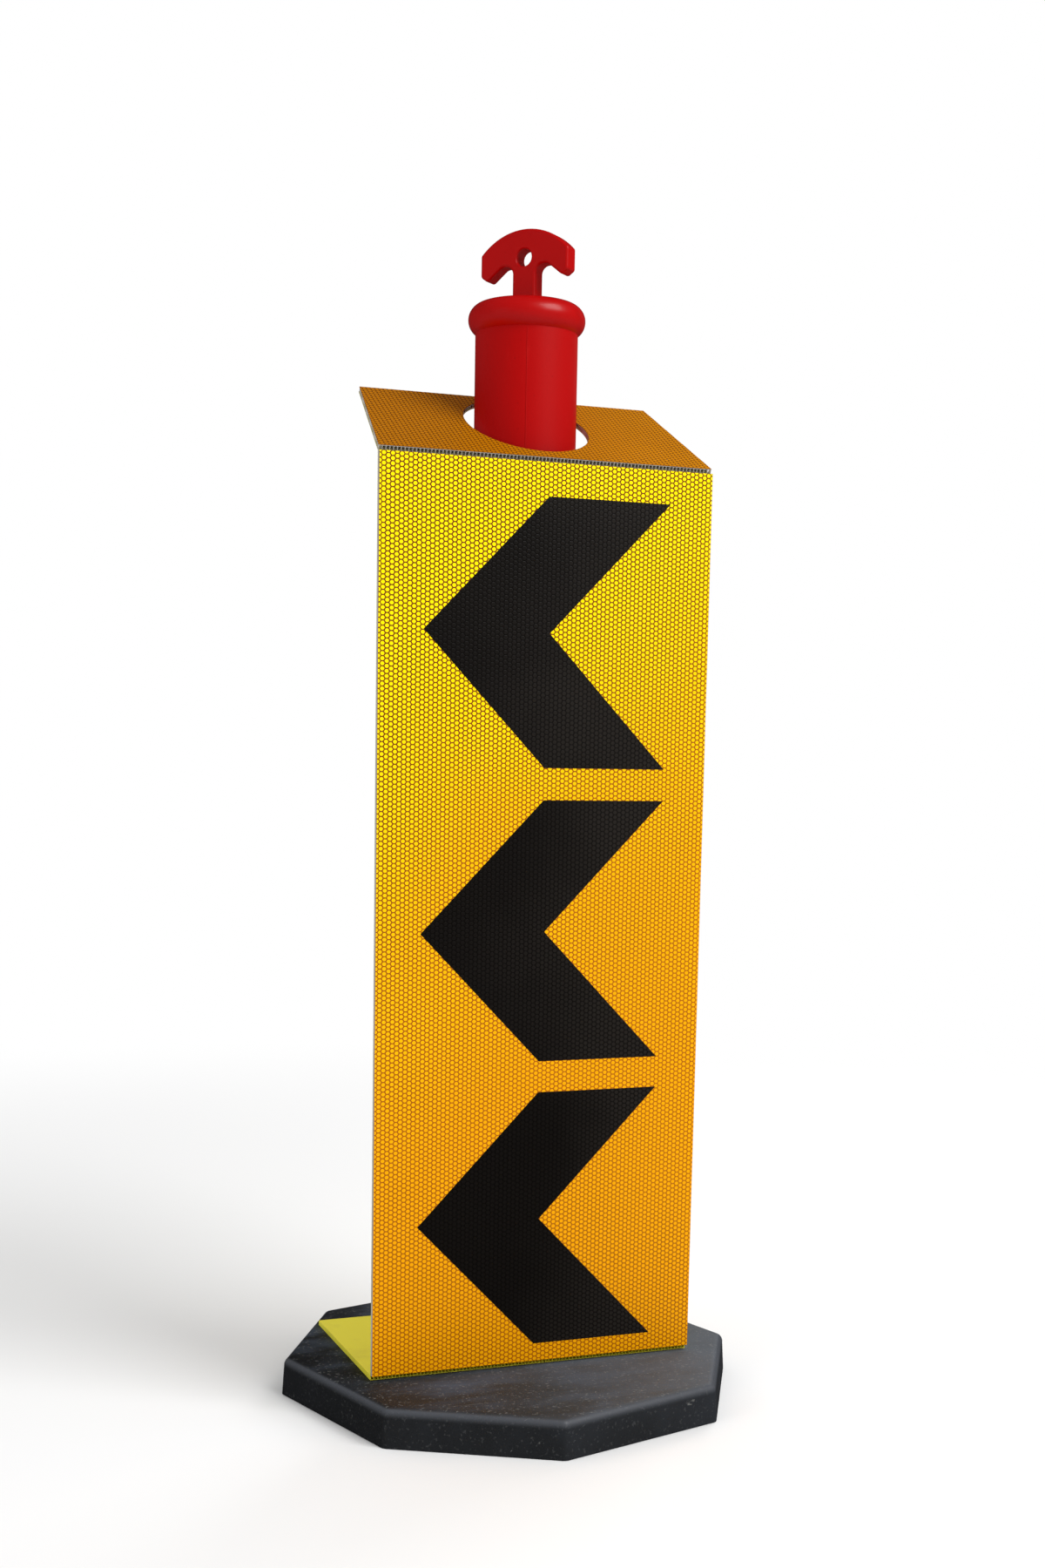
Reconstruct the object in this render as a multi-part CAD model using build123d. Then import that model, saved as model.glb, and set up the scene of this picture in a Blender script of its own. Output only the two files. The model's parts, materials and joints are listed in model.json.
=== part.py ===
"""Delineator post: a T-top plastic post in an octagonal rubber foot, with a fluted-plastic chevron sleeve.

Millimetres. The origin is on the post's axis at the ground, +Z is up, and the chevron panel faces -Y.
"""

from build123d import *
import os
from math import cos, radians, sin, sqrt

# Whole post
OVERALL_HEIGHT = 1150

# Tube: one moulding, from the foot flange up to the seat of the cap
TUBE_RADIUS = 50
TUBE_WALL = 3
FOOT_FLARE = 8
FOOT_CONE_HEIGHT = 16
FLANGE_WIDTH = 17
FLANGE_THICKNESS = 8

# Cap with a rolled rim, plugged into the tube
BEAD_OVERHANG = 7
BEAD_ROUND = 15.5
CAP_CROWN = 2.5
CAP_CROWN_MIDDLE = 0.75
CAP_SEAT_MARGIN = 6.5
CAP_PLATE = 5
CAP_PLUG_DEPTH = 28
CAP_PLUG_WALL = 3
PLUG_CLEARANCE = 0.15

# T-handle: an anchor shape on a straight neck, with a spigot in the cap's socket
HANDLE_HEIGHT = 67
HANDLE_SPAN = 96
HANDLE_THICKNESS = 17
HANDLE_TURN = -50
HANDLE_SHOULDER_DROP = 21
HANDLE_END = 20
HOOK_SPAN = 82
HOOK_DROP = 46
THROAT_DROP = 33.5
THROAT_REACH = 12.5
THROAT_ROUND = 8
HANDLE_CORNER_ROUND = 3.5
HANDLE_EDGE_ROUND = 2.6
HANDLE_HOLE_RADIUS = 8.25
HANDLE_HOLE_DROP = 26.5
HANDLE_HOLE_CHAMFER = 1
NECK_WIDTH = 25
COLLAR_LIP = 2
COLLAR_HEIGHT = 2
SPIGOT_SHOULDER = 2.5
SPIGOT_OVERRUN = 8
SPIGOT_CLEARANCE = 0.15
SOCKET_OVERRUN = 1

# Reflective bands round the tube, below the sleeve's top fold
BAND_WIDTH = 150
BAND_THICKNESS = 0.4
BAND_DROP = 84
BAND_GAP = 120
BAND_NAMES = ("reflective_band_upper", "reflective_band_lower")

# Rubber foot: an eight-sided slab with a bore for the tube and a recess for its flange
BASE_ACROSS_FLATS = 440
BASE_CORNER_CUT = 133
BASE_HEIGHT = 38
BASE_TURN = -29
BASE_DRAFT = 3.5
BASE_CORNER_ROUND = 9
BASE_TOP_ROUND = 8
BORE_CLEARANCE = 0.5
FLANGE_CLEARANCE = 2
FLANGE_HEADROOM = 0.5

# Chevron sleeve: fluted sheet folded into a front panel, a top flap and a bottom flap
BOARD_THICKNESS = 5
BOARD_SKIN = 0.4
FLUTE_PITCH = 3.7
FLUTE_RIB = 0.6
PANEL_WIDTH = 340
PANEL_DROP = 226.7
PANEL_STANDOFF = 17
REST_GAP = 0.3
FOLD_GAP = 0.3

# Top flap: it springs up until the back of its hole stops against the tube
TOP_FLAP_ANGLE = 30
TOP_FLAP_TAPER = 18
TOP_FLAP_MARGIN = 6.5
TOP_HOLE_FRONT_CLEARANCE = 4.5
TOP_HOLE_BACK_CLEARANCE = 1
CAP_PASS_CLEARANCE = 2

# Bottom flap: it lies on the rubber foot round the tube
BOTTOM_FLAP_MARGIN = 66
BOTTOM_HOLE_CLEARANCE = 2

# Reflective sheeting and the chevrons laid on it
SHEETING_THICKNESS = 0.5
CHEVRON_THICKNESS = 0.2
CHEVRON_BAND = 127
CHEVRON_SIDE_MARGIN = 44.5
CHEVRON_TOP_MARGIN = 32
CHEVRON_BOTTOM_MARGIN = 18
CHEVRON_GAP = 31
CHEVRON_NAMES = ("chevron_lower", "chevron_middle", "chevron_upper")

# Sizes and places worked out from the ones above
FOOT_RADIUS = TUBE_RADIUS + FOOT_FLARE
FLANGE_RADIUS = FOOT_RADIUS + FLANGE_WIDTH
CAP_TOP = OVERALL_HEIGHT - HANDLE_HEIGHT
CAP_SEAT_RADIUS = NECK_WIDTH / 2 + CAP_SEAT_MARGIN
BEAD_RADIUS = TUBE_RADIUS + BEAD_OVERHANG
BEAD_CENTRE_RADIUS = BEAD_RADIUS - BEAD_ROUND
RIM_TOP = CAP_TOP - CAP_CROWN
BEAD_CENTRE_HEIGHT = RIM_TOP - BEAD_ROUND
TUBE_TOP = BEAD_CENTRE_HEIGHT - sqrt(BEAD_ROUND**2 - (TUBE_RADIUS - BEAD_CENTRE_RADIUS) ** 2)
PANEL_BOTTOM = BASE_HEIGHT + REST_GAP + BOARD_THICKNESS
PANEL_TOP = OVERALL_HEIGHT - PANEL_DROP
PANEL_HEIGHT = PANEL_TOP - PANEL_BOTTOM
PANEL_BACK_DISTANCE = TUBE_RADIUS + PANEL_STANDOFF
PANEL_FRONT = -(PANEL_BACK_DISTANCE + BOARD_THICKNESS)
FLAP_TILT = radians(TOP_FLAP_ANGLE)
FLAP_LEAN = (BOARD_THICKNESS + SHEETING_THICKNESS) * sin(FLAP_TILT)
TUBE_PASSAGE = 2 * TUBE_RADIUS + TOP_HOLE_FRONT_CLEARANCE + TOP_HOLE_BACK_CLEARANCE + FLAP_LEAN
TOP_HOLE_RADIUS = max(TUBE_PASSAGE / cos(FLAP_TILT) / 2, BEAD_RADIUS + CAP_PASS_CLEARANCE)
TUBE_BACK = PANEL_BACK_DISTANCE + TUBE_RADIUS
TOP_HOLE_END = (TUBE_BACK + TOP_HOLE_BACK_CLEARANCE + FLAP_LEAN) / cos(FLAP_TILT)
TOP_HOLE_FROM_FOLD = TOP_HOLE_END - TOP_HOLE_RADIUS
TOP_FLAP_DEPTH = TOP_HOLE_END + TOP_FLAP_MARGIN
BOTTOM_HOLE_RADIUS = FOOT_RADIUS + BOTTOM_HOLE_CLEARANCE
BOTTOM_FLAP_DEPTH = PANEL_BACK_DISTANCE + BOTTOM_HOLE_RADIUS + BOTTOM_FLAP_MARGIN
CHEVRON_RUN = PANEL_WIDTH - 2 * CHEVRON_SIDE_MARGIN - CHEVRON_BAND
CHEVRON_GAPS = (len(CHEVRON_NAMES) - 1) * CHEVRON_GAP
CHEVRON_COLUMN = PANEL_HEIGHT - CHEVRON_TOP_MARGIN - CHEVRON_BOTTOM_MARGIN - CHEVRON_GAPS
CHEVRON_HEIGHT = CHEVRON_COLUMN / len(CHEVRON_NAMES)

# How near a corner or an edge has to be to a stated place to be picked for rounding
NEAR = 0.1


def turned(*curves):
    """A closed outline, drawn as radius and height, turned once round the post's axis."""
    edges = [edge for curve in curves for edge in curve.edges()]
    return revolve(Plane.XZ * make_face(edges), Axis.Z)


def pipe(outer, inner, bottom, height):
    """An upright ring about the post's axis."""
    ring = Circle(outer) - Circle(inner)
    return Pos(0, 0, bottom) * extrude(ring, height)


def post_tube():
    """Thin tube that widens into a plain foot with a flat flange, open at both ends."""
    cone_top = BASE_HEIGHT + FOOT_CONE_HEIGHT
    foot_bore = FOOT_RADIUS - TUBE_WALL
    tube_bore = TUBE_RADIUS - TUBE_WALL
    outline = Polyline(
        (foot_bore, 0),
        (FLANGE_RADIUS, 0),
        (FLANGE_RADIUS, FLANGE_THICKNESS),
        (FOOT_RADIUS, FLANGE_THICKNESS),
        (FOOT_RADIUS, BASE_HEIGHT),
        (TUBE_RADIUS, cone_top),
        (TUBE_RADIUS, TUBE_TOP),
        (tube_bore, TUBE_TOP),
        (tube_bore, cone_top),
        (foot_bore, BASE_HEIGHT),
        close=True,
    )
    return turned(outline)


def spigot(clearance, bottom):
    """The handle's square-cornered spigot up to the cap's top, or its socket when a clearance is given."""
    width = NECK_WIDTH - 2 * SPIGOT_SHOULDER + 2 * clearance
    thickness = HANDLE_THICKNESS - 2 * SPIGOT_SHOULDER + 2 * clearance
    block = Box(width, thickness, CAP_TOP - bottom, align=(Align.CENTER, Align.CENTER, Align.MIN))
    return Pos(0, 0, bottom) * block


def post_cap():
    """Cap with a rolled rim that covers the tube's end, a crowned top and a plug inside the tube."""
    plug_radius = TUBE_RADIUS - TUBE_WALL - PLUG_CLEARANCE
    plug_bore = plug_radius - CAP_PLUG_WALL
    plug_end = TUBE_TOP - CAP_PLUG_DEPTH
    ceiling = RIM_TOP - CAP_PLATE
    crown_middle = ((CAP_SEAT_RADIUS + BEAD_CENTRE_RADIUS) / 2, CAP_TOP - CAP_CROWN_MIDDLE)
    seat = Line((0, CAP_TOP), (CAP_SEAT_RADIUS, CAP_TOP))
    crown = ThreePointArc(seat @ 1, crown_middle, (BEAD_CENTRE_RADIUS, RIM_TOP))
    rim = ThreePointArc(crown @ 1, (BEAD_RADIUS, BEAD_CENTRE_HEIGHT), (TUBE_RADIUS, TUBE_TOP))
    inside = Polyline(
        rim @ 1,
        (plug_radius, TUBE_TOP),
        (plug_radius, plug_end),
        (plug_bore, plug_end),
        (plug_bore, ceiling),
        (0, ceiling),
        seat @ 0,
    )
    socket = Rot(0, 0, HANDLE_TURN) * spigot(SPIGOT_CLEARANCE, ceiling - SOCKET_OVERRUN)
    return turned(seat, crown, rim, inside) - socket


def handle_outline():
    """The T-handle seen square on: arched top, upright ends, hooked underside and straight neck."""
    half = HANDLE_SPAN / 2
    neck = NECK_WIDTH / 2
    shoulder = OVERALL_HEIGHT - HANDLE_SHOULDER_DROP
    throat_height = OVERALL_HEIGHT - THROAT_DROP
    arch = ThreePointArc((-half, shoulder), (0, OVERALL_HEIGHT), (half, shoulder))
    right = Polyline(
        (half, shoulder),
        (half, shoulder - HANDLE_END),
        (HOOK_SPAN / 2, OVERALL_HEIGHT - HOOK_DROP),
        (neck + THROAT_REACH, throat_height),
        (neck, throat_height),
        (neck, CAP_TOP),
        (-neck, CAP_TOP),
    )
    left = mirror(Polyline(right.vertices()[:6]), about=Plane.YZ)
    face = make_face([*arch.edges(), *right.edges(), *left.edges()])
    throats = face.vertices().filter_by(lambda v: abs(v.Y - throat_height) < NEAR)
    face = fillet(throats, THROAT_ROUND)
    corners = face.vertices().filter_by(lambda v: abs(v.X) > HOOK_SPAN / 2 - NEAR)
    return fillet(corners, HANDLE_CORNER_ROUND)


def t_handle():
    """Solid moulded handle with rounded edges, a hole through it, a collar at the neck and a spigot."""
    body = extrude(Plane.XZ * handle_outline(), HANDLE_THICKNESS / 2, both=True)
    flats = body.faces().filter_by(Axis.Y)
    rims = [edge for face in flats for edge in face.edges() if edge.center().Z > CAP_TOP + NEAR]
    body = fillet(rims, HANDLE_EDGE_ROUND)

    hole_height = OVERALL_HEIGHT - HANDLE_HOLE_DROP
    hole = Pos(0, 0, hole_height) * Rot(90, 0, 0) * Cylinder(HANDLE_HOLE_RADIUS, 2 * HANDLE_THICKNESS)
    body -= hole
    mouths = body.edges().filter_by(GeomType.CIRCLE).filter_by(
        lambda e: abs(e.radius - HANDLE_HOLE_RADIUS) < NEAR and abs(e.center().Z - hole_height) < NEAR
    )
    body = chamfer(mouths, HANDLE_HOLE_CHAMFER)

    collar_size = (NECK_WIDTH + 2 * COLLAR_LIP, HANDLE_THICKNESS + 2 * COLLAR_LIP, COLLAR_HEIGHT)
    collar = Box(*collar_size, align=(Align.CENTER, Align.CENTER, Align.MIN))
    collar = fillet(collar.edges().filter_by(Axis.Z), HANDLE_EDGE_ROUND)
    collar = chamfer(collar.faces().sort_by(Axis.Z)[-1].edges(), COLLAR_HEIGHT / 2)
    spigot_end = RIM_TOP - CAP_PLATE - SPIGOT_OVERRUN
    whole = body + Pos(0, 0, CAP_TOP) * collar + spigot(0, spigot_end)
    return Rot(0, 0, HANDLE_TURN) * whole


def rubber_base():
    """Heavy eight-sided foot with drafted sides, rounded edges, a bore and a recess underneath."""
    plan = Rectangle(BASE_ACROSS_FLATS, BASE_ACROSS_FLATS)
    plan = chamfer(plan.vertices(), BASE_CORNER_CUT)
    slab = extrude(plan, BASE_HEIGHT, taper=BASE_DRAFT)
    uprights = slab.edges().filter_by(lambda e: e.bounding_box().size.Z > BASE_HEIGHT / 2)
    slab = fillet(uprights, BASE_CORNER_ROUND)
    slab = fillet(slab.faces().sort_by(Axis.Z)[-1].edges(), BASE_TOP_ROUND)

    bore = Cylinder(FOOT_RADIUS + BORE_CLEARANCE, 3 * BASE_HEIGHT)
    recess_depth = FLANGE_THICKNESS + FLANGE_HEADROOM
    recess = Cylinder(FLANGE_RADIUS + FLANGE_CLEARANCE, 2 * recess_depth)
    return Rot(0, 0, BASE_TURN) * (slab - bore - recess)


def reflective_band(bottom):
    """Sheeting wrapped once round the tube."""
    return pipe(TUBE_RADIUS + BAND_THICKNESS, TUBE_RADIUS, bottom, BAND_WIDTH)


def fluted_section(width):
    """End view of the twin-wall sheet: two skins joined by ribs, centred on the origin."""
    count = round(width / FLUTE_PITCH)
    pitch = (width - FLUTE_RIB) / count
    cell = Rectangle(pitch - FLUTE_RIB, BOARD_THICKNESS - 2 * BOARD_SKIN)
    return Rectangle(width, BOARD_THICKNESS) - GridLocations(pitch, 0, count, 1) * cell


def front_board():
    """Front panel of the sleeve, with its flutes upright."""
    middle = PANEL_FRONT + BOARD_THICKNESS / 2
    return Pos(0, middle, PANEL_BOTTOM) * extrude(fluted_section(PANEL_WIDTH), PANEL_HEIGHT)


def flap_board(depth):
    """Flat flap on its back, with its underside at height 0 and its flutes running back from the fold."""
    end = Plane((0, FOLD_GAP, BOARD_THICKNESS / 2), x_dir=(1, 0, 0), z_dir=(0, 1, 0))
    return extrude(end * fluted_section(PANEL_WIDTH), depth - FOLD_GAP)


def at_top_fold(piece):
    """Set a piece, laid out flat from the fold line, at the top fold and tip it up to its resting angle."""
    return Pos(0, -PANEL_BACK_DISTANCE, PANEL_TOP) * Rot(TOP_FLAP_ANGLE, 0, 0) * piece


def top_flap_plan():
    """The top flap's outline seen from above, narrower at the back, with the hole for the post."""
    front, back = PANEL_WIDTH / 2, PANEL_WIDTH / 2 - TOP_FLAP_TAPER
    outline = Polyline(
        (-front, FOLD_GAP), (front, FOLD_GAP), (back, TOP_FLAP_DEPTH), (-back, TOP_FLAP_DEPTH), close=True
    )
    return make_face(outline) - Pos(0, TOP_HOLE_FROM_FOLD) * Circle(TOP_HOLE_RADIUS)


def top_flap_board():
    """Top flap, trimmed to its outline and pierced for the post."""
    trim = extrude(top_flap_plan(), BOARD_THICKNESS)
    return at_top_fold(flap_board(TOP_FLAP_DEPTH) & trim)


def top_flap_sheeting():
    """Reflective sheeting over the whole of the top flap."""
    sheet = extrude(top_flap_plan(), SHEETING_THICKNESS)
    return at_top_fold(Pos(0, 0, BOARD_THICKNESS) * sheet)


def bottom_flap_board():
    """Bottom flap, lying on the rubber foot with the post through its hole."""
    hole = Pos(0, PANEL_BACK_DISTANCE, 0) * Cylinder(BOTTOM_HOLE_RADIUS, 4 * BOARD_THICKNESS)
    board = flap_board(BOTTOM_FLAP_DEPTH) - hole
    return Pos(0, -PANEL_BACK_DISTANCE, PANEL_BOTTOM - BOARD_THICKNESS) * board


def front_sheeting():
    """Reflective sheeting over the whole front of the panel."""
    size = (PANEL_WIDTH, SHEETING_THICKNESS, PANEL_HEIGHT)
    sheet = Box(*size, align=(Align.CENTER, Align.MAX, Align.MIN))
    return Pos(0, PANEL_FRONT, PANEL_BOTTOM) * sheet


def chevron(height):
    """Black film arrowhead that points to -X, with its point at the given height."""
    tip = -(CHEVRON_RUN + CHEVRON_BAND) / 2
    rise = CHEVRON_HEIGHT / 2
    outline = Polyline(
        (tip, 0),
        (tip + CHEVRON_RUN, rise),
        (tip + CHEVRON_RUN + CHEVRON_BAND, rise),
        (tip + CHEVRON_BAND, 0),
        (tip + CHEVRON_RUN + CHEVRON_BAND, -rise),
        (tip + CHEVRON_RUN, -rise),
        close=True,
    )
    film = extrude(Plane.XZ * make_face(outline), CHEVRON_THICKNESS)
    return Pos(0, PANEL_FRONT - SHEETING_THICKNESS, height) * film


def pieces():
    """Every piece of the post by its node's name."""
    made = {
        "post_tube": post_tube(),
        "post_cap": post_cap(),
        "t_handle": t_handle(),
        "rubber_base": rubber_base(),
        "front_board": front_board(),
        "top_flap_board": top_flap_board(),
        "bottom_flap_board": bottom_flap_board(),
        "front_sheeting": front_sheeting(),
        "top_flap_sheeting": top_flap_sheeting(),
    }
    for step, name in enumerate(BAND_NAMES):
        top = PANEL_TOP - BAND_DROP - step * (BAND_WIDTH + BAND_GAP)
        made[name] = reflective_band(top - BAND_WIDTH)
    for step, name in enumerate(CHEVRON_NAMES):
        bottom = PANEL_BOTTOM + CHEVRON_BOTTOM_MARGIN + step * (CHEVRON_HEIGHT + CHEVRON_GAP)
        made[name] = chevron(bottom + CHEVRON_HEIGHT / 2)
    return made


os.makedirs("parts", exist_ok=True)
for name, piece in pieces().items():
    export_step(piece, f"parts/{name}.step")
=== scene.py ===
"""Looks of the delineator post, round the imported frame, in the order the post is put together.

Metres. The origin is on the post's axis at the ground, +Z is up, and the chevron panel faces -Y.
"""
import json
from math import cos, pi, radians, sin

import bpy
from mathutils import Matrix, Vector


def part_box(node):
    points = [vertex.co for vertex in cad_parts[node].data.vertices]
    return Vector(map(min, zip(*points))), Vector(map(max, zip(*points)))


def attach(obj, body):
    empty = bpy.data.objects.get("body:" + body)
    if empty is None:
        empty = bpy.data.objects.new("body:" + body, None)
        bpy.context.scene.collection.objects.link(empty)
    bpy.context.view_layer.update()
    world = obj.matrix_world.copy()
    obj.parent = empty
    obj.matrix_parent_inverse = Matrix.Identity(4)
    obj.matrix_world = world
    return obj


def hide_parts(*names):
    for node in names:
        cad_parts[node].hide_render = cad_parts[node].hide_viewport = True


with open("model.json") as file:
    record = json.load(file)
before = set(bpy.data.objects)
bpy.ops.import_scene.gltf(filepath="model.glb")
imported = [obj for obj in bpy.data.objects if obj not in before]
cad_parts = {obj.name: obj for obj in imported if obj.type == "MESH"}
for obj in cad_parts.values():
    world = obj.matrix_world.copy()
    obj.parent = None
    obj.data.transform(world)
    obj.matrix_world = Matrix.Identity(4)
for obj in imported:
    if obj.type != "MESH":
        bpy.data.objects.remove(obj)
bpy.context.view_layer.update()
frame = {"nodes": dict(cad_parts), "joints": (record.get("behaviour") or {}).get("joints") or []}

# ---- Camera --------------------------------------------------------------------------------------
# A short telephoto to the left of the panel, a little above the middle of the post and looking a
# little down on it. Its shift brings the whole post into the frame.

CAMERA_PLACE = (-0.701, -1.838, 0.657)
CAMERA_HEADING = -21.1
CAMERA_PITCH = -7.5
CAMERA_ROLL = 1.03
CAMERA_SENSOR = 36
CAMERA_LENS = 44.8
CAMERA_SHIFT = 0.139

lens = bpy.data.cameras.new("camera")
lens.sensor_width = CAMERA_SENSOR
lens.lens = CAMERA_LENS
lens.shift_y = CAMERA_SHIFT
camera = bpy.data.objects.new("camera", lens)
bpy.context.scene.collection.objects.link(camera)
camera.matrix_world = (
    Matrix.Translation(CAMERA_PLACE)
    @ Matrix.Rotation(radians(CAMERA_HEADING), 4, "Z")
    @ Matrix.Rotation(radians(90 + CAMERA_PITCH), 4, "X")
    @ Matrix.Rotation(radians(CAMERA_ROLL), 4, "Z")
)
bpy.context.scene.camera = camera
bpy.context.scene.view_settings.view_transform = "Standard"


# ---- Node graphs, and the floor ------------------------------------------------------------------
# A wide pale studio floor, matt, that runs out of sight under a white surround. Glossy skins see it
# dimly, so they keep their colour. The graph classes serve every material and sheet below.

class Wire:
    """An output socket. Sums and products written on it become Math nodes in its graph."""

    def __init__(self, graph, socket):
        self.graph, self.socket = graph, socket

    def __add__(self, other):
        return self.graph.math("ADD", self, other)

    def __radd__(self, other):
        return self.graph.math("ADD", other, self)

    def __sub__(self, other):
        return self.graph.math("SUBTRACT", self, other)

    def __rsub__(self, other):
        return self.graph.math("SUBTRACT", other, self)

    def __mul__(self, other):
        return self.graph.math("MULTIPLY", self, other)

    def __rmul__(self, other):
        return self.graph.math("MULTIPLY", other, self)

    def __truediv__(self, other):
        return self.graph.math("DIVIDE", self, other)

    def __mod__(self, other):
        return self.graph.math("FLOORED_MODULO", self, other)

    def __gt__(self, other):
        return self.graph.math("GREATER_THAN", self, other)

    def __lt__(self, other):
        return self.graph.math("LESS_THAN", self, other)

    def __abs__(self):
        return self.graph.math("ABSOLUTE", self)


class Graph:
    """A node tree as it is written. node() adds any node; the other methods name the usual ones."""

    def __init__(self, tree):
        self.tree = tree

    def node(self, kind, settings=None, inputs=None, out=0):
        made = self.tree.nodes.new(kind)
        for name, value in (settings or {}).items():
            setattr(made, name, value)
        for name, value in (inputs or {}).items():
            self.feed(made.inputs[name], value)
        return Wire(self, made.outputs[out])

    def feed(self, socket, value):
        if isinstance(value, Wire):
            self.tree.links.new(value.socket, socket)
        else:
            socket.default_value = value

    def math(self, operation, *values):
        return self.node("ShaderNodeMath", {"operation": operation}, dict(enumerate(values)))

    def least(self, a, b):
        return self.math("MINIMUM", a, b)

    def most(self, a, b):
        return self.math("MAXIMUM", a, b)

    def axes(self, vector):
        split = self.node("ShaderNodeSeparateXYZ", None, {0: vector}).socket.node
        return [Wire(self, output) for output in split.outputs]

    def vector(self, x, y, z):
        return self.node("ShaderNodeCombineXYZ", None, {0: x, 1: y, 2: z})


class Look(Graph):
    """A material as it is written: patterns read the piece's own Object coordinates, in metres."""

    def __init__(self, name):
        self.material = bpy.data.materials.new(name)
        self.material.use_nodes = True
        super().__init__(self.material.node_tree)
        self.shader = self.tree.nodes["Principled BSDF"]
        self.place = self.node("ShaderNodeTexCoord", None, None, "Object")

    def set(self, **finish):
        for name, value in finish.items():
            self.feed(self.shader.inputs[name.replace("_", " ")], value)

    def stretched(self, scale, turn=(0, 0, 0)):
        mapping = {"Vector": self.place, "Rotation": turn, "Scale": scale}
        return self.node("ShaderNodeMapping", None, mapping)

    def noise(self, scale, detail=2.0, rough=0.5, place=None):
        inputs = {"Vector": place or self.place, "Scale": scale}
        inputs.update({"Detail": detail, "Roughness": rough})
        return self.node("ShaderNodeTexNoise", None, inputs)

    def between(self, value, low, high):
        """0 below low, 1 above high and smooth between them."""
        inputs = {"Value": value, "From Min": low, "From Max": high}
        return self.node("ShaderNodeMapRange", {"interpolation_type": "SMOOTHSTEP"}, inputs)

    def mix(self, share, first, second):
        return self.node("ShaderNodeMix", {"data_type": "RGBA"}, {0: share, 6: first, 7: second}, 2)

    def bump(self, height, depth, strength=1.0):
        inputs = {"Strength": strength, "Distance": depth, "Height": height}
        return self.node("ShaderNodeBump", None, inputs)


def paint(red, green, blue):
    """A colour given as screen values from 0 to 255, as the linear light that shaders take."""
    shares = [value / 255 for value in (red, green, blue)]
    light = [s / 12.92 if s <= 0.04045 else ((s + 0.055) / 1.055) ** 2.4 for s in shares]
    return (*light, 1.0)


def link(name, mesh):
    """A new object at the origin for a mesh that is already in place."""
    made = bpy.data.objects.new(name, mesh)
    bpy.context.scene.collection.objects.link(made)
    return made


FLOOR_HALF = 20
FLOOR_DROP = 0.0005
FLOOR_FADE = (0.7, 2.4)
FLOOR_MIRRORED = 0.02
WHITE = (1, 1, 1, 1)

floor_look = Look("pale_floor")
floor_look.set(Base_Color=paint(236, 236, 236), Roughness=0.9, Specular_IOR_Level=0.1)
by_length = {"operation": "LENGTH"}
away = floor_look.node("ShaderNodeVectorMath", by_length, {0: floor_look.place}, "Value")
glow = floor_look.node("ShaderNodeEmission", None, {"Color": WHITE, "Strength": 1})
dim = floor_look.node("ShaderNodeEmission", None, {"Color": WHITE, "Strength": FLOOR_MIRRORED})
mirrored = floor_look.node("ShaderNodeLightPath", None, None, "Is Glossy Ray")
near = Wire(floor_look, floor_look.shader.outputs[0])
far_share = floor_look.between(away, *FLOOR_FADE)
faded = floor_look.node("ShaderNodeMixShader", None, {0: far_share, 1: near, 2: glow})
faded = floor_look.node("ShaderNodeMixShader", None, {0: mirrored, 1: faded, 2: dim})
floor_look.feed(floor_look.tree.nodes["Material Output"].inputs["Surface"], faded)
floor_mesh = bpy.data.meshes.new("floor")
signs = ((-1, -1), (1, -1), (1, 1), (-1, 1))
corners = [(x * FLOOR_HALF, y * FLOOR_HALF, -FLOOR_DROP) for x, y in signs]
floor_mesh.from_pydata(corners, [], [(0, 1, 2, 3)])
floor_mesh.materials.append(floor_look.material)
link("floor", floor_mesh)


# ---- Studio light --------------------------------------------------------------------------------
# A large soft box high in front and to the right, a weak one to the left, one behind to the right,
# and a white surround. Only the large one shows in glossy skins.

SURROUND_SEEN = 1.0
SURROUND_LIGHT = 0.62
SURROUND_MIRRORED = 0.03


def soft_box(name, place, aim, size, power, mirrored):
    """A square area light turned towards its aim. Glossy skins show it where mirrored is on."""
    lamp = bpy.data.lights.new(name, "AREA")
    lamp.size = size
    lamp.energy = power
    made = bpy.data.objects.new(name, lamp)
    made.location = place
    made.rotation_euler = (Vector(aim) - Vector(place)).to_track_quat("-Z", "Y").to_euler()
    made.visible_glossy = mirrored
    bpy.context.scene.collection.objects.link(made)


soft_box("key_light", (1.6, -2.3, 3.1), (0, 0, 0.6), 2.0, 116, True)
soft_box("fill_light", (-2.6, -0.9, 1.4), (0, 0, 0.6), 1.4, 12, False)
soft_box("back_light", (1.9, 1.7, 1.7), (0, 0, 0.7), 1.2, 22, False)

world = bpy.data.worlds.new("surround")
world.use_nodes = True
bpy.context.scene.world = world
surround = Graph(world.node_tree)
seen = surround.node("ShaderNodeLightPath", None, None, "Is Camera Ray")
mirrored = surround.node("ShaderNodeLightPath", None, None, "Is Glossy Ray")
strength = SURROUND_LIGHT + seen * (SURROUND_SEEN - SURROUND_LIGHT)
strength = strength + mirrored * (SURROUND_MIRRORED - SURROUND_LIGHT)
background = world.node_tree.nodes["Background"]
surround.feed(background.inputs["Color"], WHITE)
surround.feed(background.inputs["Strength"], strength)


# ---- Rubber foot ---------------------------------------------------------------------------------
# A heavy eight-sided foot that drops over the tube, pressed from recycled rubber crumb.
# Its skin is a dull satin black, with grey dust on top and rub marks. Its top is lightened towards
# +x as a painted reflection, and its upper edges are glossier and lightened as a painted highlight.

def dress(node, look):
    """Give a CAD node's object one finish all over."""
    slots = frame["nodes"][node].data.materials
    slots.clear()
    slots.append(look.material)


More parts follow.
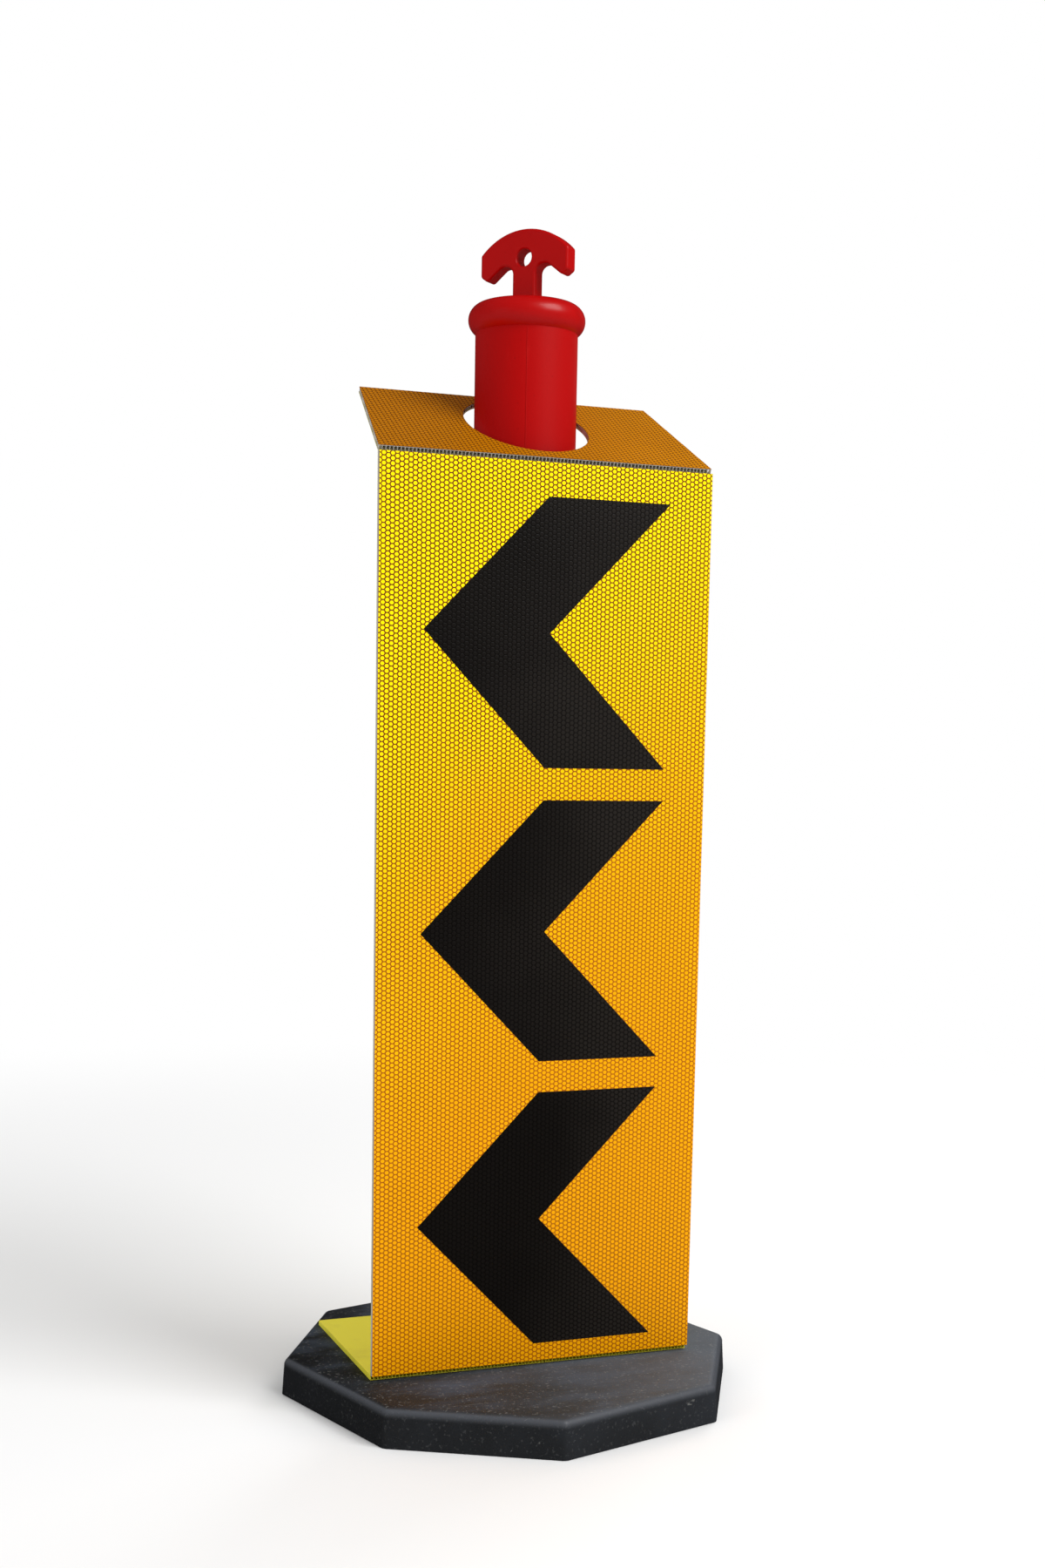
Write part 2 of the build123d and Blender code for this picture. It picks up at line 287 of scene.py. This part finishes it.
def rubber_look():
    look = Look("black_rubber")
    low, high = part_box("rubber_base")
    normal = look.node("ShaderNodeTexCoord", None, None, "Normal")
    height = look.axes(look.place)[2]
    facing_up = look.between(look.axes(normal)[2], 0.75, 0.98)
    painted_highlight_rim = look.between(height, high.z - 0.010, high.z - 0.002) * (1 - facing_up)

    patches = look.noise(7, 4, 0.6)
    smears = look.noise(3, 6, 0.62, look.stretched((2.2, 9, 2.2), (0, 0, radians(35))))
    dust = look.between(patches * 0.55 + smears * 0.45, 0.40, 0.66)
    rubs = look.noise(5, 3, 0.7, look.stretched((1.5, 60, 20), (0, 0, radians(-20))))
    rub_marks = look.between(rubs, 0.66, 0.76)
    crumb = look.noise(520, 3, 0.6)
    waves = look.noise(24, 3, 0.5)

    # across grows from -x to +x, and it carries the painted reflection on the top below.
    across = look.between(look.axes(look.place)[0], low.x, high.x)
    grit = look.between(look.noise(330, 2, 0.5), 0.60, 0.70)

    skin = look.mix(dust * (0.12 + 0.88 * facing_up), paint(28, 30, 33), paint(64, 74, 90))
    # Painted reflection: the top is lightened towards +x.
    skin = look.mix(facing_up * across * 0.50, skin, paint(104, 104, 102))
    skin = look.mix(grit * (0.10 + 0.30 * facing_up), skin, paint(128, 128, 126))
    skin = look.mix(rub_marks * 0.45, skin, paint(128, 128, 124))
    # Painted highlight: the band just under the top edge is lightened, and it is made glossier
    # below.
    skin = look.mix(painted_highlight_rim * 0.55, skin, paint(92, 95, 102))
    look.set(
        Base_Color=skin,
        Roughness=0.62 + 0.18 * dust + 0.08 * crumb - 0.30 * painted_highlight_rim,
        Normal=look.bump(0.65 * waves + 0.35 * crumb, 0.0010, 0.6),
        Specular_IOR_Level=0.30,
    )
    return look


dress("rubber_base", rubber_look())


# ---- Post tube -----------------------------------------------------------------------------------
# One long moulding in red polyethylene, 3 mm thick, that stands in the foot on its hidden flange.
# The two halves of its mould leave a fine raised line down each side.

PARTING_ANGLES = (-110, 70)
PARTING_RISE = 0.0003
PARTING_WIDTH = 0.0011
PARTING_STEPS = 6
PARTING_END_GAP = 0.001
RED = paint(176, 0, 1)


def red_look(name, drawn, roughness, shine):
    """Satin red polyethylene. drawn stretches its flow marks the way the plastic was drawn."""
    look = Look(name)
    flow = look.noise(10, 4, 0.55, look.stretched(drawn))
    cloud = look.noise(14, 3, 0.5)
    peel = look.noise(260, 2, 0.5)
    specks = look.between(look.noise(420, 1, 0.4), 0.70, 0.78)
    slanted = look.stretched((3, 3, 0.6), (radians(20), 0, 0))
    scuffs = look.between(look.noise(30, 5, 0.75, slanted), 0.60, 0.74)

    colour = look.mix(flow * 0.5 + cloud * 0.5, paint(152, 0, 0), RED)
    colour = look.mix(scuffs * 0.14, colour, paint(196, 34, 28))
    colour = look.mix(specks * 0.30, colour, paint(116, 0, 0))
    look.set(
        Base_Color=colour,
        Roughness=roughness + 0.08 * flow + 0.14 * scuffs,
        Normal=look.bump(0.7 * peel + 0.3 * cloud, 0.00022, 0.45),
        Specular_IOR_Level=shine,
    )
    return look


def ridge(name, angle, radius, bottom, top, look):
    """A low rounded line of plastic up a round wall, sunk a little into it."""
    mesh = bpy.data.meshes.new(name)
    middle, sunk = radians(angle), radius - PARTING_RISE
    shares = [step / PARTING_STEPS for step in range(PARTING_STEPS + 1)]
    rise = [PARTING_RISE * (1 - (2 * share - 1) ** 2) for share in shares]
    turn = [middle + PARTING_WIDTH / radius * (share - 0.5) for share in shares]
    section = [((radius + r) * cos(t), (radius + r) * sin(t)) for r, t in zip(rise, turn)]
    section.append((sunk * cos(middle), sunk * sin(middle)))
    count = len(section)
    points = [(x, y, z) for z in (bottom, top) for x, y in section]
    sides = [(s, (s + 1) % count, count + (s + 1) % count, count + s) for s in range(count)]
    ends = [tuple(reversed(range(count))), tuple(range(count, 2 * count))]
    mesh.from_pydata(points, [], sides + ends)
    mesh.materials.append(look.material)
    made = link(name, mesh)
    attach(made, "post")


tube_red = red_look("red_tube", (1, 1, 0.12), 0.42, 0.09)
dress("post_tube", tube_red)
FOOT_CONE_HEIGHT = 0.016
TUBE_RADIUS = 0.050
line_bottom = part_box("rubber_base")[1].z + FOOT_CONE_HEIGHT + PARTING_END_GAP
line_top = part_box("post_tube")[1].z - PARTING_END_GAP
for side, angle in zip(("front", "back"), PARTING_ANGLES):
    ridge(f"parting_line_{side}", angle, TUBE_RADIUS, line_bottom, line_top, tube_red)


# ---- Cap -----------------------------------------------------------------------------------------
# A separate red polyethylene moulding with a fat rolled rim and a slightly crowned top, plugged
# into the tube. It is the shiniest of the red pieces.

cap_red = red_look("red_cap", (0.5, 0.5, 1), 0.27, 0.22)
dress("post_cap", cap_red)


# ---- T-handle ------------------------------------------------------------------------------------
# A solid anchor-shaped grip with a round hole through it, moulded in the same red plastic and fixed
# in the cap's square socket.

handle_red = red_look("red_handle", (1, 1, 1), 0.28, 0.16)
dress("t_handle", handle_red)


# ---- Reflective bands ----------------------------------------------------------------------------
# White reflective sheeting wrapped once round the tube, behind the sleeve.
# The sheeting is embossed all over with six-sided cells, sealed along the lines between them.

COLUMN_PITCH = 0.00436
ROW_PITCH = 0.00465
CELL_RELIEF = 0.00013
SEAL_WIDTH = 0.00115
MERGE_DISTANCE = 0.000002


class GeometryGraph(Graph):
    """A Geometry Nodes tree with named inputs, run once on an empty mesh to give a plain one."""

    def __init__(self, name):
        super().__init__(bpy.data.node_groups.new(name, "GeometryNodeTree"))
        self.tree.is_modifier = True
        self.declare("Geometry", "OUTPUT", "Geometry")
        self.inlet = self.tree.nodes.new("NodeGroupInput")
        self.identifiers = {}

    def declare(self, name, way, kind):
        kind = f"NodeSocket{kind}"
        return self.tree.interface.new_socket(name, in_out=way, socket_type=kind).identifier

    def input(self, name, kind="Float"):
        self.identifiers[name] = self.declare(name, "INPUT", kind)
        return Wire(self, self.inlet.outputs[name])

    def finish(self, geometry):
        outlet = self.tree.nodes.new("NodeGroupOutput")
        self.feed(outlet.inputs[0], geometry)

    def run(self, name, values):
        carrier = link(name, bpy.data.meshes.new(name))
        modifier = carrier.modifiers.new(name, "NODES")
        modifier.node_group = self.tree
        for label, value in values.items():
            modifier[self.identifiers[label]] = value
        graph = bpy.context.evaluated_depsgraph_get()
        mesh = bpy.data.meshes.new_from_object(carrier.evaluated_get(graph))
        carrier.modifiers.remove(modifier)
        carrier.data = mesh
        return carrier


def honeycomb_graph():
    """Sheeting laid flat: x across it, y up it from its lower edge and z out of its face.

    The cells stand in columns. Those that cross the outline are trimmed to it, and those that lie
    under an arrowhead of film stay plain. With a wrap radius, the sheeting goes once round a tube.
    """
    g = GeometryGraph("honeycomb_sheeting")
    columns, rows = g.input("Columns", "Int"), g.input("Rows", "Int")
    width, height = g.input("Width"), g.input("Height")
    thickness, relief, seal = g.input("Thickness"), g.input("Relief"), g.input("Seal Width")
    taper = g.input("Taper")
    hole_radius, hole_height = g.input("Hole Radius"), g.input("Hole Height")
    film_tip, film_middle = g.input("Film Tip"), g.input("Film Middle")
    film_pitch, film_rise = g.input("Film Pitch"), g.input("Film Rise")
    film_run, film_band = g.input("Film Run"), g.input("Film Band")
    wrap_radius = g.input("Wrap Radius")
    cell_material, seal_material = g.input("Cell", "Material"), g.input("Seal", "Material")
    column_pitch, row_pitch = width / columns, height / rows

    # A cell round each point of a staggered grid, one row and column past the outline.
    grid = {
        "Size X": width + 2 * column_pitch,
        "Size Y": height + 2 * row_pitch,
        "Vertices X": columns + 3,
        "Vertices Y": rows + 3,
    }
    centres = g.node("GeometryNodeMeshGrid", None, grid)
    x, y, _ = g.axes(g.node("GeometryNodeInputPosition"))
    column = g.math("ROUND", (x + width / 2) / column_pitch)
    staggered = g.vector(x, y + height / 2 + (column % 2) * row_pitch / 2, thickness - relief)
    centres = g.node("GeometryNodeSetPosition", None, {"Geometry": centres, "Position": staggered})
    net = g.node("GeometryNodeTriangulate", {"quad_method": "SHORTEST_DIAGONAL"}, {0: centres})
    cells = g.node("GeometryNodeDualMesh", None, {0: net})

    # Cells quite outside the outline go, and the others are pulled back to it.
    x, y, z = g.axes(g.node("GeometryNodeInputPosition"))
    level = g.most(0, g.least(y, height))
    reach = width / 2 - taper * (level / height)
    from_hole = g.vector(x, level - hole_height, 0)
    distance = g.node("ShaderNodeVectorMath", {"operation": "LENGTH"}, {0: from_hole}, "Value")
    within = (y > MERGE_DISTANCE) * (y < height - MERGE_DISTANCE)
    within = within * (abs(x) < reach - MERGE_DISTANCE) * (distance > hole_radius)
    on_points = {"data_type": "FLOAT", "domain": "POINT"}
    within = g.node("GeometryNodeFieldOnDomain", on_points, {0: within})
    outside = {"Geometry": cells, "Selection": within < MERGE_DISTANCE}
    cells = g.node("GeometryNodeDeleteGeometry", {"domain": "FACE"}, outside)

    side = g.math("SIGN", x)
    trimmed = g.vector(side * g.least(abs(x), reach), level, z)
    outwards = g.node("ShaderNodeVectorMath", {"operation": "NORMALIZE"}, {0: from_hole})
    across, along, _ = g.axes(outwards)
    on_hole = g.vector(across * hole_radius, hole_height + along * hole_radius, z)
    cells = g.node("GeometryNodeSetPosition", None, {"Geometry": cells, "Position": trimmed})
    in_hole = {"Geometry": cells, "Selection": distance < hole_radius, "Position": on_hole}
    cells = g.node("GeometryNodeSetPosition", None, in_hole)

    # Each cell that no film covers rises on its own and shrinks, which leaves the sealed lines.
    from_film = abs((y - film_middle + film_pitch / 2) % film_pitch - film_pitch / 2)
    across_film = x - film_tip - from_film * film_run / film_rise
    margin = column_pitch
    covered = (across_film > margin) * (across_film < film_band - margin)
    covered = covered * (from_film < film_rise - margin)
    pressed = {"Mesh": cells, "Selection": 1 - covered, "Offset Scale": relief, "Individual": True}
    raised = g.node("GeometryNodeExtrudeMesh", {"mode": "FACES"}, pressed)
    top = Wire(g, raised.socket.node.outputs["Top"])
    shrunk = {"Geometry": raised, "Selection": top, "Scale": 1 - seal / column_pitch}
    sheet = g.node("GeometryNodeScaleElements", {"domain": "FACE"}, shrunk)

    # Walls down from the rim, and a back: one face behind flat sheeting, cells behind wrapped.
    wrapped = wrap_radius > 0
    seam = wrapped * (abs(x) > reach - MERGE_DISTANCE)
    at_rim = (g.node("GeometryNodeInputMeshEdgeNeighbors") < 2) * (1 - seam)
    rim = {"Mesh": sheet, "Selection": at_rim, "Offset": g.vector(0, 0, -1)}
    rim["Offset Scale"] = thickness - relief
    walled = g.node("GeometryNodeExtrudeMesh", {"mode": "EDGES"}, rim)
    lower_rim = Wire(g, walled.socket.node.outputs["Top"])
    loops = g.node("GeometryNodeMeshToCurve", None, {"Mesh": walled, "Selection": lower_rim})
    flat_back = g.node("GeometryNodeFillCurve", None, {0: loops})
    pressed_flat = {"Geometry": cells, "Position": g.vector(x, y, 0)}
    round_back = g.node("GeometryNodeSetPosition", None, pressed_flat)
    backs = {"Switch": wrapped, "False": flat_back, "True": round_back}
    back = g.node("GeometryNodeSwitch", {"input_type": "GEOMETRY"}, backs)
    back = g.node("GeometryNodeFlipFaces", None, {0: back})
    joined = g.node("GeometryNodeJoinGeometry")
    g.tree.links.new(back.socket, joined.socket.node.inputs[0])
    g.tree.links.new(walled.socket, joined.socket.node.inputs[0])

    # Wrapped sheeting is bent round the tube, and its two ends meet at the back.
    x, y, z = g.axes(g.node("GeometryNodeInputPosition"))
    radius, turn = wrap_radius + z, x / g.most(wrap_radius, MERGE_DISTANCE)
    round_tube = g.vector(radius * g.math("SINE", turn), -1 * radius * g.math("COSINE", turn), y)
    bend = {"Geometry": joined, "Selection": wrapped, "Position": round_tube}
    bent = g.node("GeometryNodeSetPosition", None, bend)
    closed = {"Geometry": bent, "Distance": MERGE_DISTANCE}
    whole = g.node("GeometryNodeMergeByDistance", None, closed)
    whole = g.node("GeometryNodeRealizeInstances", None, {0: whole})
    whole = g.node("GeometryNodeSetMaterial", None, {"Geometry": whole, "Material": seal_material})
    raised_cells = {"Geometry": whole, "Selection": top, "Material": cell_material}
    g.finish(g.node("GeometryNodeSetMaterial", None, raised_cells))
    return g


honeycomb = honeycomb_graph()


def sheeting(name, width, height, thickness, looks, **shape):
    """A sheet of embossed sheeting, flat or wrapped, with whole columns and rows fitted to it.

    A film band of no width covers nothing, and its pitch and rise only have to be above 0.
    """
    values = {
        "Columns": 2 * round(width / COLUMN_PITCH / 2),
        "Rows": round(height / ROW_PITCH),
        "Width": width,
        "Height": height,
        "Thickness": thickness,
        "Relief": CELL_RELIEF,
        "Seal Width": SEAL_WIDTH,
        "Film Pitch": 1.0,
        "Film Rise": 1.0,
        "Cell": looks[0].material,
        "Seal": looks[1].material,
    }
    values.update({label.replace("_", " "): value for label, value in shape.items()})
    return honeycomb.run(name, values)


def white_cell_look():
    look = Look("white_cells")
    patches = look.noise(9, 3, 0.55)
    beads = look.noise(1400, 1, 0.5)
    look.set(
        Base_Color=look.mix(patches, paint(206, 208, 212), paint(232, 233, 234)),
        Roughness=0.30 + 0.10 * patches,
        Normal=look.bump(beads, 0.00008, 0.5),
        Coat_Weight=0.3,
        Coat_Roughness=0.1,
    )
    return look


def seal_look(name, dark, light):
    """The pressed lines between the cells, where the top film is welded to the backing."""
    look = Look(name)
    patches = look.noise(12, 4, 0.6)
    look.set(Base_Color=look.mix(patches, dark, light), Roughness=0.42)
    return look


white_looks = (
    white_cell_look(),
    seal_look("white_seals", paint(150, 152, 156), paint(172, 174, 178)),
)
for name in ("reflective_band_upper", "reflective_band_lower"):
    low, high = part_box(name)
    band = sheeting(
        name + "_sheeting",
        2 * pi * TUBE_RADIUS,
        high.z - low.z,
        high.x - TUBE_RADIUS,
        white_looks,
        Wrap_Radius=TUBE_RADIUS,
    )
    band.data.transform(Matrix.Translation((0, 0, low.z)))
    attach(band, "post")
    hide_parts(name)


# ---- Fluted board of the sleeve ------------------------------------------------------------------
# Twin-wall polypropylene sheet, 5 mm thick: two thin skins joined by upright ribs, cut and folded.
# The inner skin is pale yellow. The core is cloudy, uncoloured plastic, grey in its hollows.

BOARD_THICKNESS = 0.005
BOARD_SKIN = 0.0004


def board_look(name, depth_from_inner_skin):
    """Cloudy plastic with a yellow inner skin; the function gives the depth from that skin."""
    look = Look(name)
    depth = depth_from_inner_skin(look)
    edge = (BOARD_SKIN * 0.6, BOARD_SKIN * 1.2)
    inner = 1 - look.between(depth, *edge)
    outer = look.between(depth, BOARD_THICKNESS - edge[1], BOARD_THICKNESS - edge[0])
    patches = look.noise(8, 3, 0.55)
    drawn = look.noise(40, 2, 0.5, look.stretched((9, 9, 0.4)))
    core = look.mix(patches, paint(176, 170, 160), paint(192, 187, 178))
    skin = look.mix(outer, core, paint(204, 200, 192))
    yellow = look.mix(patches, paint(219, 204, 72), paint(228, 216, 84))
    look.set(
        Base_Color=look.mix(inner, skin, yellow),
        Roughness=0.42 + 0.12 * drawn,
        Normal=look.bump(drawn, 0.00012, 0.5),
        Subsurface_Weight=0.15,
        Subsurface_Radius=(0.004, 0.004, 0.003),
        Subsurface_Scale=1.0,
    )
    return look


def panel_depth(look):
    inner_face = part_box("front_board")[1].y
    return inner_face - look.axes(look.place)[1]


hinges = {joint["name"]: Vector(joint["pos_m"]) for joint in frame["joints"] if "pos_m" in joint}
TOP_FLAP_ANGLE = 30
top_fold = hinges["top_flap_fold"]


def top_flap_depth(look):
    _, y, z = look.axes(look.place)
    tilt = radians(TOP_FLAP_ANGLE)
    return (z - top_fold.z) * cos(tilt) - (y - top_fold.y) * sin(tilt)


def yellow_board_look():
    look = Look("yellow_board")
    patches = look.noise(8, 3, 0.55)
    drawn = look.noise(40, 2, 0.5, look.stretched((9, 0.4, 9)))
    smudge = look.between(look.noise(16, 5, 0.65), 0.52, 0.72)
    colour = look.mix(patches, paint(246, 234, 60), paint(252, 242, 72))
    look.set(
        Base_Color=look.mix(smudge * 0.25, colour, paint(204, 190, 70)),
        Roughness=0.42 + 0.12 * drawn,
        Normal=look.bump(drawn, 0.00012, 0.5),
    )
    return look


dress("front_board", board_look("panel_board", panel_depth))
dress("top_flap_board", board_look("top_flap_board", top_flap_depth))
dress("bottom_flap_board", yellow_board_look())


# ---- Reflective sheeting on the sleeve -----------------------------------------------------------
# Yellow reflective sheeting, laminated to the outside of the board before it was cut and folded.
# It has the same six-sided cells. Their colour is painted light: it changes over each sheet between
# a bright and an amber tone, standing in for the light the sheeting sends back at each slant.

CHEVRON_BAND = 0.127
# Where the painted light on the panel's and the flap's sheeting changes from one colour to the
# other, and how it slants and drifts.
PANEL_CHANGE = (0.55, 1.20)
FLAP_CHANGE = (1.04, 1.32)
CHANGE_SLANT = 0.55
CHANGE_DRIFT = 0.55


def painted_light_towards_upper_left(look, change):
    """Painted light on the sheeting: 0 at the lower right, 1 at the upper left; change is where it
    starts and ends, in metres.
    """
    x, _, height = look.axes(look.place)
    drift = look.noise(2.6, 3, 0.5)
    return look.between(height - CHANGE_SLANT * x + CHANGE_DRIFT * drift, *change)


def cell_look(name, change, upper_left, lower_right):
    """The raised cells, in two colours that change into each other over the sheeting as painted
    light; the sheeting itself is one colour.
    """
    look = Look(name)
    grain = look.noise(260, 2, 0.6)
    beads = look.noise(1500, 1, 0.5)
    colour = look.mix(painted_light_towards_upper_left(look, change), lower_right, upper_left)
    look.set(
        Base_Color=look.mix(grain * 0.30, colour, lower_right),
        Roughness=0.32 + 0.12 * grain,
        Normal=look.bump(beads, 0.00010, 0.5),
        Specular_IOR_Level=0.06,
    )
    return look


def line_look(name, change, upper_left, lower_right):
    """The sunk lines between the cells: a dark tone of their own, painted darker still at the upper
    left as painted light, and grimy in patches.
    """
    look = Look(name)
    grime = look.noise(12, 4, 0.6)
    colour = look.mix(painted_light_towards_upper_left(look, change), lower_right, upper_left)
    look.set(
        Base_Color=look.mix(grime * 0.35, colour, paint(84, 46, 0)),
        Roughness=0.46 + 0.10 * grime,
        Specular_IOR_Level=0.10,
    )
    return look


panel_low, panel_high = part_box("front_sheeting")
# Panel colours, upper left then lower right: the change between them is painted light.
panel_looks = (
    cell_look("panel_cells", PANEL_CHANGE, paint(255, 232, 0), paint(240, 164, 0)),
    line_look("panel_lines", PANEL_CHANGE, paint(112, 60, 0), paint(184, 104, 0)),
)
film_low, film_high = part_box("chevron_middle")
film_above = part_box("chevron_upper")[0].z
panel = sheeting(
    "panel_sheeting",
    panel_high.x - panel_low.x,
    panel_high.z - panel_low.z,
    panel_high.y - panel_low.y,
    panel_looks,
    Film_Tip=film_low.x,
    Film_Middle=(film_low.z + film_high.z) / 2 - panel_low.z,
    Film_Pitch=film_above - film_low.z,
    Film_Rise=(film_high.z - film_low.z) / 2,
    Film_Run=film_high.x - film_low.x - CHEVRON_BAND,
    Film_Band=CHEVRON_BAND,
)
upright = Matrix.Rotation(pi / 2, 4, "X")
panel.data.transform(Matrix.Translation((0, panel_high.y, panel_low.z)) @ upright)
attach(panel, "sleeve")
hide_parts("front_sheeting")

FOLD_GAP = 0.0003
TOP_FLAP_TAPER = 0.018
TOP_FLAP_MARGIN = 0.0065
TOP_HOLE_RADIUS = 0.0625
tilt = radians(TOP_FLAP_ANGLE)
flap_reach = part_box("top_flap_sheeting")[1].y - top_fold.y
TOP_FLAP_DEPTH = (flap_reach + BOARD_THICKNESS * sin(tilt)) / cos(tilt)
TOP_HOLE_FROM_FOLD = TOP_FLAP_DEPTH - TOP_FLAP_MARGIN - TOP_HOLE_RADIUS
# The top flap's cells and lines are painted darker than the panel's, as painted shade of the tilted
# flap; it is the same sheeting.
flap_looks = (
    cell_look("flap_cells", FLAP_CHANGE, paint(170, 102, 0), paint(212, 136, 0)),
    line_look("flap_lines", FLAP_CHANGE, paint(112, 62, 0), paint(146, 88, 0)),
)
flap = sheeting(
    "top_flap_cells",
    panel_high.x - panel_low.x,
    TOP_FLAP_DEPTH - FOLD_GAP,
    panel_high.y - panel_low.y,
    flap_looks,
    Taper=TOP_FLAP_TAPER,
    Hole_Radius=TOP_HOLE_RADIUS,
    Hole_Height=TOP_HOLE_FROM_FOLD - FOLD_GAP,
)
on_board = Matrix.Translation((0, FOLD_GAP, BOARD_THICKNESS))
flap.data.transform(Matrix.Translation(top_fold) @ Matrix.Rotation(tilt, 4, "X") @ on_board)
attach(flap, "top_flap")
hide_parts("top_flap_sheeting")


# ---- Chevrons ------------------------------------------------------------------------------------
# Three arrowheads cut from black vinyl film and pressed on to the panel's sheeting. The film takes
# the relief of the cells under it, and their centres are lightened as a painted highlight, more to
# +x.

def chevron_look():
    look = Look("black_film")
    x, _, z = look.axes(look.place)
    width, height = panel_high.x - panel_low.x, panel_high.z - panel_low.z
    column_pitch = width / (2 * round(width / COLUMN_PITCH / 2))
    row_pitch = height / round(height / ROW_PITCH)

    def cell(first_column, first_row):
        """How far out in its six-sided cell a point is, 0 to 0.5, in every second column."""
        u = ((x - panel_low.x) / column_pitch - first_column + 1) % 2 - 1
        v = ((z - panel_low.z) / row_pitch - first_row + 0.5) % 1 - 0.5
        return look.most(abs(v), 0.75 * abs(u) + 0.5 * abs(v))

    out = look.least(cell(0, 0), cell(1, 0.5))
    pillow = 1 - look.between(out, 0.30, 0.5)
    patches = look.noise(5, 3, 0.5)
    specks = look.noise(700, 1, 0.5)
    # Where the painted highlight on the cell centres grows, towards +x.
    painted_sheen = look.between(x + 0.35 * patches, 0.10, 0.30)
    colour = look.mix(patches, paint(6, 4, 3), paint(12, 8, 6))
    look.set(
        # Painted highlight: cell centres lightened a little all over and more towards +x; the bump
        # is their real relief.
        Base_Color=look.mix(pillow * (0.15 + 0.45 * painted_sheen), colour, paint(46, 42, 38)),
        Roughness=0.34 + 0.08 * patches + 0.06 * specks,
        Normal=look.bump(pillow, 0.00018, 0.8),
        Specular_IOR_Level=0.10,
    )
    return look


film = chevron_look()
for name in ("chevron_upper", "chevron_middle", "chevron_lower"):
    dress(name, film)
